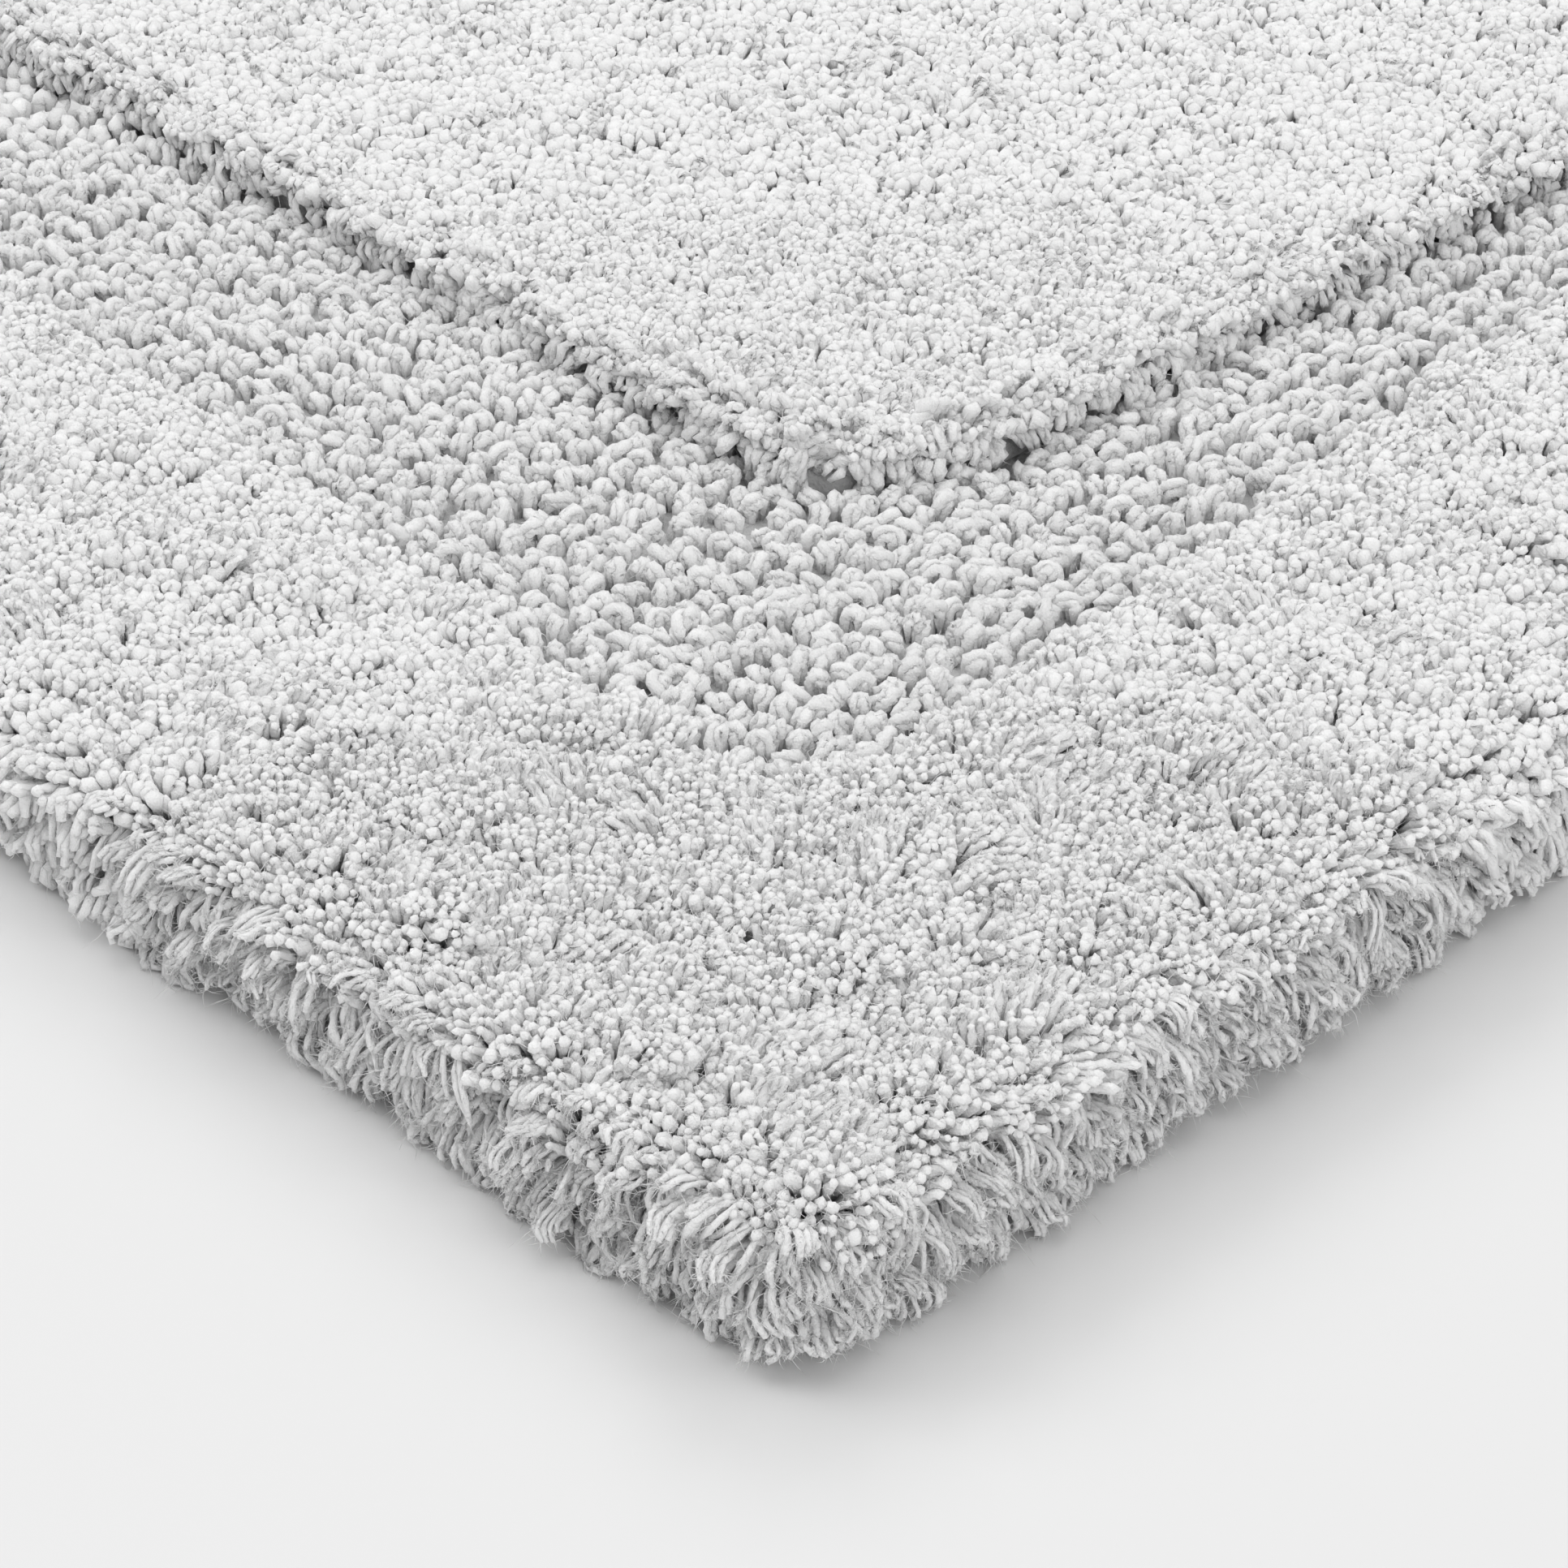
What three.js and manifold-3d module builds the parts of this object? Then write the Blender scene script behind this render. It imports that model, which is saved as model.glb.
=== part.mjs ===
// Tufted cotton bath mat, in millimetres, +Z up, lying flat on z = 0.
// X runs along the mat's length, Y along its width. The front side faces -Y and the right side +X.
//
// Yarn is tufted through one woven base cloth in three zones: a border of cut pile that rolls
// over the cloth's edge, a lower band of loop pile, and a raised centre of sheared cut pile.
// Under the cloth, four strips of hem tape are sewn on around the edge and a latex coat holds
// the tufts and grips the floor.

import * as THREE from 'three';
import initManifold from 'manifold-3d';

const manifoldLibrary = await initManifold();
manifoldLibrary.setup();
const { Manifold, Mesh: ManifoldMesh } = manifoldLibrary;

// Outside sizes.
const MAT_LENGTH = 864;
const MAT_WIDTH = 508;
const CORNER_RADIUS = 10;

// Heights of the piles above the floor.
const BORDER_TOP = 20;
const BAND_TOP = 15.5;
const CENTRE_TOP = 21;

// The zones' edges. The mat is tufted by hand, so each edge wanders: its distance in from the
// mat's outside swings about the inset, in a whole number of waves around the mat. A wave lies
// furthest out where it starts, at a share of the way around from the front left corner. The
// bend is how far before its sharp corner an edge begins to turn.
const BORDER_EDGE = { inset: 67, swing: 11, waves: 4, start: 0.315, bend: 19 };
const CENTRE_EDGE = { inset: 112, swing: 14, waves: 2, start: 0.405, bend: 33 };
const POINTS_PER_EDGE = 16;

// The roll at the outside: the pile is tucked in at the floor and rounded over at the top.
const ROLL_TUCK = 1;
const ROLL_TUCK_HEIGHT = 4;
const ROLL_RADIUS_Z = 9;
const ROLL_RADIUS_IN = 6.5;
const ROLL_STEPS = 6;
const CORNER_STEPS = 6;

// Under the pile.
const CLOTH_INSET = 8;
const CLOTH_THICKNESS = 1;
const UNDERSIDE_THICKNESS = 1;
const TAPE_WIDTH = 14;
const STITCH_FROM_TAPE_EDGE = 2.5;
const THREAD_WIDTH = 0.8;
const THREAD_THICKNESS = 0.4;
const THREAD_ABOVE_FLOOR = 0.2;

// Clear space between neighbours.
const GAP = 0.4;

// Anything that only cuts runs this far past what it cuts.
const PAST = 5;

const CLOTH_BOTTOM = UNDERSIDE_THICKNESS + GAP;
const PILE_BOTTOM = CLOTH_BOTTOM + CLOTH_THICKNESS + GAP;
const SIDES = ['front', 'right', 'back', 'left'];

// ---- materials -------------------------------------------------------------------------------

const cloth = (colour, roughness) =>
  new THREE.MeshStandardMaterial({ color: colour, roughness, metalness: 0 });

const MATERIALS = {
  cutPile: cloth(0xdadada, 1),
  loopPile: cloth(0xd4d4d4, 1),
  baseCloth: cloth(0xe2dfd8, 0.95),
  hemTape: cloth(0xe6e5e2, 0.9),
  thread: cloth(0xf0efec, 0.8),
  latex: cloth(0xe9e4d6, 0.7),
};

// ---- outlines --------------------------------------------------------------------------------

// A rectangle with round corners, smaller than the mat by the inset on every side.
function roundedOutline(inset) {
  const halfLength = MAT_LENGTH / 2 - inset;
  const halfWidth = MAT_WIDTH / 2 - inset;
  const radius = Math.max(CORNER_RADIUS - inset, 1);
  const corners = [
    [halfLength - radius, -halfWidth + radius, -Math.PI / 2],
    [halfLength - radius, halfWidth - radius, 0],
    [-halfLength + radius, halfWidth - radius, Math.PI / 2],
    [-halfLength + radius, -halfWidth + radius, Math.PI],
  ];
  const points = [];
  for (const [x, y, start] of corners) {
    for (let step = 0; step <= CORNER_STEPS; step += 1) {
      const angle = start + (step / CORNER_STEPS) * (Math.PI / 2);
      points.push(new THREE.Vector2(x + radius * Math.cos(angle), y + radius * Math.sin(angle)));
    }
  }
  return points;
}

// How far in from the mat's outside a zone's edge lies, at a distance around the mat.
function edgeInset({ inset, swing, waves, start }, around) {
  const share = around / (2 * (MAT_LENGTH + MAT_WIDTH));
  return inset - swing * Math.cos(2 * Math.PI * waves * (share - start));
}

// One of a zone's four edges, moved in by a further inset, and the sharp corner that it would
// end in. Side 0 is the front, and the sides follow each other anticlockwise.
function zoneEdge(edge, extra, side) {
  const lengths = [MAT_LENGTH, MAT_WIDTH, MAT_LENGTH, MAT_WIDTH];
  const length = lengths[side];
  const halfDepth = lengths[(side + 1) % 4] / 2;
  const before = lengths.slice(0, side).reduce((sum, value) => sum + value, 0);
  const pointAt = (along) => new THREE.Vector2(
    along - length / 2,
    edgeInset(edge, before + along) + extra - halfDepth,
  ).rotateAround(new THREE.Vector2(), (side * Math.PI) / 2);
  const firstCorner = edgeInset(edge, before - edge.inset) + extra;
  const lastCorner = length - edgeInset(edge, before + length + edge.inset) - extra;
  const straight = lastCorner - firstCorner - 2 * edge.bend;
  const points = Array.from({ length: POINTS_PER_EDGE + 1 }, (_, step) =>
    pointAt(firstCorner + edge.bend + (straight * step) / POINTS_PER_EDGE));
  return { points, corner: pointAt(lastCorner) };
}

// The outline of a zone with four wandering edges and round corners, moved in by a further inset.
function zoneOutline(edge, extra = 0) {
  const edges = SIDES.map((_, side) => zoneEdge(edge, extra, side));
  return edges.flatMap(({ points, corner }, side) => {
    const next = edges[(side + 1) % 4].points[0];
    const bend = new THREE.QuadraticBezierCurve(points.at(-1), corner, next);
    return [...points, ...bend.getPoints(CORNER_STEPS).slice(1, -1)];
  });
}

// ---- solids ----------------------------------------------------------------------------------

// An upright solid on an outline, from one height to another.
function prism(outline, low, high) {
  const geometry = new THREE.ExtrudeGeometry(new THREE.Shape(outline), {
    depth: high - low,
    bevelEnabled: false,
    steps: 1,
  });
  return geometry.translate(0, 0, low);
}

// A solid that passes through a stack of outlines with equal numbers of points, bottom first.
function loft(levels) {
  const count = levels[0].outline.length;
  const positions = levels.flatMap(({ outline, z }) => outline.flatMap(({ x, y }) => [x, y, z]));
  const faces = [];
  for (let level = 0; level + 1 < levels.length; level += 1) {
    for (let point = 0; point < count; point += 1) {
      const next = (point + 1) % count;
      const [a, b] = [level * count + point, level * count + next];
      faces.push(a, b, b + count, a, b + count, a + count);
    }
  }
  const top = (levels.length - 1) * count;
  for (const [a, b, c] of THREE.ShapeUtils.triangulateShape(levels[0].outline, [])) {
    faces.push(a, c, b);
    faces.push(top + a, top + b, top + c);
  }
  const geometry = new THREE.BufferGeometry();
  geometry.setAttribute('position', new THREE.Float32BufferAttribute(positions, 3));
  geometry.setIndex(faces);
  return geometry;
}

function toManifold(geometry) {
  const position = geometry.getAttribute('position');
  const count = position.count;
  const vertices = new Float32Array(position.array);
  const triangles = geometry.index
    ? new Uint32Array(geometry.index.array)
    : Uint32Array.from({ length: count }, (_, vertex) => vertex);
  const mesh = new ManifoldMesh({ numProp: 3, vertProperties: vertices, triVerts: triangles });
  mesh.merge();
  return new Manifold(mesh);
}

function toGeometry(solid) {
  const mesh = solid.getMesh();
  const indexed = new THREE.BufferGeometry();
  indexed.setAttribute('position', new THREE.Float32BufferAttribute(mesh.vertProperties, 3));
  indexed.setIndex(Array.from(mesh.triVerts));
  const geometry = indexed.toNonIndexed();
  geometry.computeVertexNormals();
  return geometry;
}

// The part of the plan that belongs to one side, out to the mitre lines at 45 degrees. It is
// moved outwards a little, so that two neighbouring sides end a gap apart.
function mitreWedge(side) {
  const halfLength = MAT_LENGTH / 2;
  const halfWidth = MAT_WIDTH / 2;
  const ridge = halfLength - halfWidth;
  const far = halfWidth + PAST;
  const onFront = [[-ridge - far, -far], [ridge + far, -far], [ridge, 0], [-ridge, 0]];
  const onRight = [[ridge, 0], [ridge + far, -far], [ridge + far, far]];
  const turn = side < 2 ? 1 : -1;
  const move = GAP * Math.SQRT1_2;
  const shift = side % 2 === 0 ? [0, -move] : [move, 0];
  const outline = (side % 2 === 0 ? onFront : onRight).map(
    ([x, y]) => new THREE.Vector2(turn * (x + shift[0]), turn * (y + shift[1])),
  );
  return toManifold(prism(outline, -PAST, CENTRE_TOP + PAST));
}

const WEDGES = SIDES.map((_, side) => mitreWedge(side));

// A ring's four mitred sides, as named meshes.
function mitredSides(ring, name, material) {
  return SIDES.map((side, index) => {
    const mesh = new THREE.Mesh(toGeometry(ring.intersect(WEDGES[index])), material);
    mesh.name = `${name}_${side}`;
    return mesh;
  });
}

// A flat ring between two insets from the mat's outside.
function flatRing(outerInset, innerInset, low, high) {
  const outer = toManifold(prism(roundedOutline(outerInset), low, high));
  return outer.subtract(toManifold(prism(roundedOutline(innerInset), low - PAST, high + PAST)));
}

// ---- pieces ----------------------------------------------------------------------------------

// The border's pile stands on the cloth, rolls over its edge and hangs to the floor.
function borderPile() {
  const levels = [
    { z: 0, inset: ROLL_TUCK },
    { z: ROLL_TUCK_HEIGHT, inset: 0 },
  ];
  for (let step = 0; step <= ROLL_STEPS; step += 1) {
    const angle = (step / ROLL_STEPS) * (Math.PI / 2);
    levels.push({
      z: BORDER_TOP - ROLL_RADIUS_Z * (1 - Math.sin(angle)),
      inset: ROLL_RADIUS_IN * (1 - Math.cos(angle)),
    });
  }
  const body = toManifold(loft(levels.map(({ z, inset }) => ({ z, outline: roundedOutline(inset) }))));
  const opening = toManifold(prism(zoneOutline(BORDER_EDGE), -PAST, BORDER_TOP + PAST));
  const underside = toManifold(prism(roundedOutline(CLOTH_INSET - GAP), -PAST, PILE_BOTTOM));
  return mitredSides(body.subtract(opening).subtract(underside), 'border_pile', MATERIALS.cutPile);
}

// The loop pile lies between the border and the centre, lower than both.
function loopBand() {
  const outer = toManifold(prism(zoneOutline(BORDER_EDGE, GAP), PILE_BOTTOM, BAND_TOP));
  const inner = toManifold(prism(zoneOutline(CENTRE_EDGE), 0, BAND_TOP + PAST));
  return mitredSides(outer.subtract(inner), 'loop_band', MATERIALS.loopPile);
}

function centrePile() {
  const geometry = prism(zoneOutline(CENTRE_EDGE, GAP), PILE_BOTTOM, CENTRE_TOP);
  const mesh = new THREE.Mesh(geometry, MATERIALS.cutPile);
  mesh.name = 'centre_pile';
  return mesh;
}

function baseCloth() {
  const geometry = prism(roundedOutline(CLOTH_INSET), CLOTH_BOTTOM, CLOTH_BOTTOM + CLOTH_THICKNESS);
  const mesh = new THREE.Mesh(geometry, MATERIALS.baseCloth);
  mesh.name = 'base_cloth';
  return mesh;
}

function latexCoat() {
  const geometry = prism(roundedOutline(CLOTH_INSET + TAPE_WIDTH + GAP), 0, UNDERSIDE_THICKNESS);
  const mesh = new THREE.Mesh(geometry, MATERIALS.latex);
  mesh.name = 'latex_coat';
  return mesh;
}

// How far in from the mat's outside the row of hem stitching runs.
const STITCH_LINE = CLOTH_INSET + TAPE_WIDTH - STITCH_FROM_TAPE_EDGE;

// The tape has a shallow groove where the thread pulls into it.
function hemTape() {
  const tape = flatRing(CLOTH_INSET, CLOTH_INSET + TAPE_WIDTH, 0, UNDERSIDE_THICKNESS);
  const halfGroove = THREAD_WIDTH / 2 + GAP;
  const grooveTop = THREAD_ABOVE_FLOOR + THREAD_THICKNESS + GAP / 2;
  const groove = flatRing(STITCH_LINE - halfGroove, STITCH_LINE + halfGroove, -PAST, grooveTop);
  return mitredSides(tape.subtract(groove), 'hem_tape', MATERIALS.hemTape);
}

function hemStitching() {
  const row = flatRing(
    STITCH_LINE - THREAD_WIDTH / 2,
    STITCH_LINE + THREAD_WIDTH / 2,
    THREAD_ABOVE_FLOOR,
    THREAD_ABOVE_FLOOR + THREAD_THICKNESS,
  );
  return mitredSides(row, 'hem_stitching', MATERIALS.thread);
}

const mat = new THREE.Group();
mat.add(
  latexCoat(),
  ...hemTape(),
  ...hemStitching(),
  baseCloth(),
  ...borderPile(),
  ...loopBand(),
  centrePile(),
);

export default mat;
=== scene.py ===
"""A tufted cotton bath mat: cut-pile border, loop-pile band and raised cut-pile centre.

Every yarn end and loop is a tube, over a dense mass of yarn. Lengths are in millimetres until a
mesh is made, in metres like the frame. The yarn is finest at the corner nearest the camera, at
+X and -Y.
"""
import math
from typing import NamedTuple

import bpy
import numpy as np
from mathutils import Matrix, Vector


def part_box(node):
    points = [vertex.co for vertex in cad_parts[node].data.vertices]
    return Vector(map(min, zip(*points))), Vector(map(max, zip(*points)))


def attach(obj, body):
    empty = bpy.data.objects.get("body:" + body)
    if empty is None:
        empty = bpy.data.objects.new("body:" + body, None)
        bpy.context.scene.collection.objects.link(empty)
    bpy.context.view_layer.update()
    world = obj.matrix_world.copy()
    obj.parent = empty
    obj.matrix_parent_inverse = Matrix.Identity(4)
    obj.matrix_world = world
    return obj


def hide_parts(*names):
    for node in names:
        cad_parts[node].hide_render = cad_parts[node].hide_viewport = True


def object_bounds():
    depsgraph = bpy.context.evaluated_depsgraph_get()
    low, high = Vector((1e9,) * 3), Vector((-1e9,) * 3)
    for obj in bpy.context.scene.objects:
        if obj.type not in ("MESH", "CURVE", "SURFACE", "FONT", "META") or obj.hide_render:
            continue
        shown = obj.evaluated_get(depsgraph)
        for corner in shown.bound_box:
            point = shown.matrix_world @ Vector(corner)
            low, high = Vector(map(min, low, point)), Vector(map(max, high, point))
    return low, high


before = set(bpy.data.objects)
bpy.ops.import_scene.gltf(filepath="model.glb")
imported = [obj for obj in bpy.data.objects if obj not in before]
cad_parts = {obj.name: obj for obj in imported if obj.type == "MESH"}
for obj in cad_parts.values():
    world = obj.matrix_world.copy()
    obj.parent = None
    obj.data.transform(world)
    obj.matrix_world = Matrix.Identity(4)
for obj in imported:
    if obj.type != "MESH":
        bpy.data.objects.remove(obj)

CAD_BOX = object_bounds()
MM = 0.001
SIDES = ("front", "right", "back", "left")
SEED = 7

# ---- yarn ----


class Ring(NamedTuple):
    """How fine the yarn is within one distance of the nearest corner."""
    reach: float        # that distance
    pitch: float        # the distance between yarn ends
    fill: float         # a yarn end's radius, as a share of that
    sides: int          # of a yarn's tube
    hairs: float        # loose fibres for each yarn
    strands: int        # of each tuft that rolls over an edge


DETAIL_RINGS = (
    Ring(110, 1.06, 0.73, 6, 2.0, 5),
    Ring(235, 1.25, 0.74, 5, 0.4, 4),
    Ring(350, 1.62, 0.78, 4, 0.1, 4),
    Ring(540, 2.10, 0.82, 4, 0, 3),
    Ring(2000, 2.60, 0.84, 4, 0, 3),
)
RING_WANDER = 12        # how far a ring's edge wanders, so that no line shows
YARN_SHOWN = 5.0        # how much of a standing yarn shows above the mass
TIP_SHARES = (0, 0.70, 0.92, 1)         # where a standing yarn's rings are along it
TIP_WIDTHS = (0.80, 1.06, 0.88, 0)      # how wide each is: the cut end blooms
PLY_DEPTH = 0.16        # how far the valleys between a yarn's plies sink into its radius
YARN_LUMPS = 0.16       # how far a yarn's radius varies from point to point, as a share
PLY_TURN = 1.1          # radians that the plies turn from one ring to the next
TUFT_SIZE = 3.7         # the yarn ends gather in soft blobs of this size,
TUFT_DOME = 1.3         # which are this high,
TUFT_GATHER = 0.14      # by this share of their way to the blob's middle
CLUMP_SIZE = 11.5       # the blobs form clumps of this size
CLUMP_RISE = 3.0        # how much higher the highest clumps stand than the lowest
CLUMP_VALLEY = 2.4      # how deep the valleys between clumps are
CLUMP_SPLAY = 0.07      # how far yarn leans out of its clump, for each millimetre from its middle
BRUSHED_SIZE = 10.0     # of the patches, of which
BRUSHED_SHARE = 0.30    # this share is brushed over, so that the yarn shows its side,
BRUSHED_LEAN = 0.95     # and leans this far, as run over rise
LIE_SIZE = 24           # the whole pile leans one way and another in waves of this size
LIE_LEAN = 0.22
TUFT_LEAN = 0.30        # the most that a blob leans
YARN_LEAN = 0.12        # how far a single yarn's lean varies
WALL_REACH = 2.8        # how far inside a zone's edge the pile counts as a wall
WALL_SPLAY = (-0.1, 0.8)        # how far its yarn leans out there, from and to
LEAN_PIVOT = 0.30       # how far up a leaning yarn stays put, as a share of its length
YARN_LAG = 0.18         # how far a leaning yarn's middle lags, as a share of its run

# Loop pile. A loop is an arch of several strands, whose ends run down into the mass.
LOOP_PITCH = 3.7
LOOP_DETAIL_REACH = 290         # beyond this from the near corner, each is a single strand
LOOP_STRANDS = 3
LOOP_STRAND_RADIUS = 0.95
LOOP_BUNDLE_RADIUS = 0.60       # from the middle of the bundle to the middle of a strand
LOOP_HALF_SPAN = (0.4, 0.95)    # half the arch's width, from and to
LOOP_TWIST = 2.4                # radians that the strands turn around each other
LOOP_FOOT = 4.0                 # how far the ends run down

# Tufts that roll over an edge and hang down: flat bundles of strands.
ROLLED_ROW_STEP = 2.5           # from one row to the next, up the profile
ROLLED_ROOT_DEPTH = 3.0         # how deep inside the edge they start
ROLLED_SHORT_SHARE = 0.42       # of the tufts above the lowest row are short and point outwards
ROLLED_SHORTNESS = 0.42         # a short tuft's length as a share of a long one's
ROLLED_STEPS = 8                # near the camera; further off there are fewer
ROLLED_DOME = 2.1               # how much further a tuft's middle stands out than its sides
ROLLED_HOVER = 1.4              # how far up the profile the lowest tips stay, off the floor
ROLLED_PLIES = (0.5, 0.34, 0.27)        # their PLY_TURN, PLY_DEPTH and YARN_LUMPS


class Tufts(NamedTuple):
    """The tufts that roll over one edge."""
    rows: tuple         # how far up the edge's profile they start, from and to
    lengths: tuple      # their least and greatest length
    spacing: float      # how far apart they are
    width: float
    strands: int        # the most that a tuft has
    lean: float         # how far they lean along the edge, as a share of their length
    lift: tuple         # how far their backs stand off the edge, from and to,
    over: float         # and how much further those of the top rows do


OUTSIDE_TUFTS = Tufts((2.4, 19.5), (3.4, 8.2), 3.6, 3.8, 5, 0.28, (-0.6, 2.5), 1.2)
RIM_TUFTS = Tufts((4.6, 12.5), (3.2, 6.4), 4.6, 5.2, 4, 0.32, (-0.5, 0.9), 0.0)

# Loose fibres, and the long stray ones near the camera.
HAIR_LENGTH = 1.1
HAIR_RADIUS = 0.05
STRAY_COUNT = 260
STRAY_REACH = 120       # how far along each side they lie
STRAY_DEPTH = 34        # and how far in from it
STRAY_STEP = 0.75
STRAY_STEPS = 11
STRAY_RADIUS = 0.045

# ---- the mat's plan, read from the frame ----

HALF_LENGTH, HALF_WIDTH = np.array(CAD_BOX[1])[:2] / MM
AROUND = 4 * (HALF_LENGTH + HALF_WIDTH)
NEAR_CORNER = np.array([HALF_LENGTH, -HALF_WIDTH])
CORNER_RADIUS = 10.0
BORDER_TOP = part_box("border_pile_front")[1].z / MM
BAND_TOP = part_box("loop_band_front")[1].z / MM
CENTRE_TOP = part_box("centre_pile")[1].z / MM
PILE_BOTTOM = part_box("centre_pile")[0].z / MM

# The outside's profile, from the floor up over the roll and in along the top.
ROLL_TUCK, ROLL_TUCK_HEIGHT = 1.6, 4.5
ROLL_RADIUS_Z, ROLL_RADIUS_IN = 11.0, 8.0
# The centre's rim is round too.
RIM_RADIUS_Z, RIM_RADIUS_IN = 4.0, 4.8
RIM_FOOT = BAND_TOP - 3.0
ROLL_FAN = 5.0          # how far along an edge, each way, its direction is taken from
CENTRE_RELIEF = 0.55    # the centre's clumps, against the border's
STANDING_FROM = 2.6     # distance in from the outline where standing yarn starts
EDGE_WANDER = 1.8       # how far that distance wanders
LEAN_AT_EDGE = 0.85     # how far yarn leans outwards there, as run over rise


def unit(v):
    return v / np.maximum(np.linalg.norm(v, axis=-1, keepdims=True), 1e-9)


def smooth(edge0, edge1, x):
    t = np.clip((x - edge0) / (edge1 - edge0), 0, 1)
    return t * t * (3 - 2 * t)


def chance(i, j, salt):
    """An even random number from 0 to 1 for each pair of whole numbers, always the same."""
    h = i.astype(np.int64) * 374761393 + j.astype(np.int64) * 668265263 + (salt + SEED) * 974634777
    h = (h ^ (h >> 13)) & 0xFFFFFFFF
    h = (h * 1274126177) & 0xFFFFFFFF
    h = h ^ (h >> 16)
    return (h & 0xFFFFFF) / float(0x1000000)


def waves(x, y, size, salt):
    """Smooth noise from -1 to 1 whose bumps are about size across."""
    i, j = np.floor(x / size), np.floor(y / size)
    fx, fy = x / size - i, y / size - j
    fx, fy = fx * fx * (3 - 2 * fx), fy * fy * (3 - 2 * fy)
    a, b = chance(i, j, salt), chance(i + 1, j, salt)
    c, d = chance(i, j + 1, salt), chance(i + 1, j + 1, salt)
    return 2 * ((a * (1 - fx) + b * fx) * (1 - fy) + (c * (1 - fx) + d * fx) * fy) - 1


def two_waves(x, y, size, salt):
    """Two kinds of the same noise, side by side."""
    return np.stack([waves(x, y, size, salt), waves(x, y, size, salt + 1)], 1)


def direction(turn):
    """Plan directions at angles anticlockwise from +X."""
    return np.stack([np.cos(turn), np.sin(turn)], -1)


def lifted(plan, height):
    """Plan points at a height, or each at its own."""
    height = np.broadcast_to(height, plan.shape[:-1])
    return np.concatenate([plan, height[..., None]], -1)


def clumps(x, y, size, salt):
    """The nearest of some scattered centres: its cell numbers and place, and how far it is as a
    share of the way to the next one."""
    first = second = np.full(x.shape, 1e9)
    found = np.zeros((4, *x.shape))
    for step_i in (-1, 0, 1):
        for step_j in (-1, 0, 1):
            i, j = np.floor(x / size) + step_i, np.floor(y / size) + step_j
            centre_x = (i + chance(i, j, salt)) * size
            centre_y = (j + chance(i, j, salt + 1)) * size
            away = np.hypot(x - centre_x, y - centre_y)
            found = np.where(away < first, [i, j, centre_x, centre_y], found)
            second = np.minimum(second, np.maximum(first, away))
            first = np.minimum(first, away)
    return *found, first / np.maximum(second, 1e-6)


def nearest_side(x, y):
    """Which side of the mat each point belongs to, its distance in from it, and its distance
    around the mat from the front left corner."""
    gaps = np.stack([y + HALF_WIDTH, HALF_LENGTH - x, HALF_WIDTH - y, x + HALF_LENGTH])
    side = gaps.argmin(0)
    length, width = 2 * HALF_LENGTH, 2 * HALF_WIDTH
    around = np.choose(side, [
        x + HALF_LENGTH,
        length + y + HALF_WIDTH,
        length + width + HALF_LENGTH - x,
        2 * length + width + HALF_WIDTH - y,
    ])
    return side, gaps.min(0), around


def side_size(side):
    """The length of one of the mat's sides, and how far it is from the mat's middle."""
    return (2 * HALF_WIDTH, HALF_LENGTH) if side % 2 else (2 * HALF_LENGTH, HALF_WIDTH)


def turned(local, side):
    """Plan points of a side, drawn as if it were the front, in their real place."""
    turn = side * math.pi / 2
    return local @ np.array([[math.cos(turn), math.sin(turn)], [-math.sin(turn), math.cos(turn)]])


def outward_of(side):
    """The horizontal direction out of the mat at each side."""
    return np.array([[0, -1], [1, 0], [0, 1], [-1, 0]], float)[side]


def rounded_inset(x, y):
    """The distance in from the mat's outline, with its corners round."""
    qx = np.abs(x) - (HALF_LENGTH - CORNER_RADIUS)
    qy = np.abs(y) - (HALF_WIDTH - CORNER_RADIUS)
    outside = np.hypot(np.maximum(qx, 0), np.maximum(qy, 0))
    return CORNER_RADIUS - outside - np.minimum(np.maximum(qx, qy), 0)


def outline_normal(x, y):
    """The horizontal direction straight out of the rounded outline."""
    step = 0.5
    dx = rounded_inset(x + step, y) - rounded_inset(x - step, y)
    dy = rounded_inset(x, y + step) - rounded_inset(x, y - step)
    return -unit(np.stack([dx, dy], 1))


def from_near_corner(x, y):
    """The distance from the corner nearest the camera, which wanders a little."""
    away = np.hypot(x - NEAR_CORNER[0], y - NEAR_CORNER[1])
    return away + RING_WANDER * waves(x, y, 40, 13)


def cad_points(node):
    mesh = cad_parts[node].data
    co = np.zeros(len(mesh.vertices) * 3)
    mesh.vertices.foreach_get("co", co)
    return co.reshape(-1, 3) / MM


def zone_edge(points):
    """A zone's edge as a table of distance around the mat and distance in from it."""
    _, inset, around = nearest_side(points[:, 0], points[:, 1])
    around, first = np.unique(np.round(around, 2), return_index=True)
    return around, inset[first]


def past_edge(edge, inset, around):
    """How far past a zone's edge a point lies, towards the mat's middle."""
    return inset - np.interp(around, *edge, period=AROUND)


def read_zone_edges():
    """The border's inner edge and the centre's outer edge, from the CAD pieces."""
    centre = zone_edge(cad_points("centre_pile"))
    band = np.concatenate([cad_points(f"loop_band_{side}") for side in SIDES])
    _, inset, around = nearest_side(band[:, 0], band[:, 1])
    outer = past_edge(centre, inset, around) < -12
    return zone_edge(band[outer]), centre


BORDER_EDGE, CENTRE_EDGE = read_zone_edges()

# ---- meshes ----


class Tubes(NamedTuple):
    """Many closed tubes with equal numbers of points. points is tubes x points x 3."""
    points: np.ndarray
    quads: np.ndarray
    triangles: np.ndarray
    sides: int

    def faces_each(self):
        return 2 * self.quads.shape[1] + self.triangles.shape[1]

    def take(self, chosen):
        """Some of the tubes, numbered again from nought."""
        first = (np.arange(int(chosen.sum())) * self.points.shape[1])[:, None, None]
        return Tubes(self.points[chosen], self.quads[:1] + first, self.triangles[:1] + first,
                     self.sides)


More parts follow.
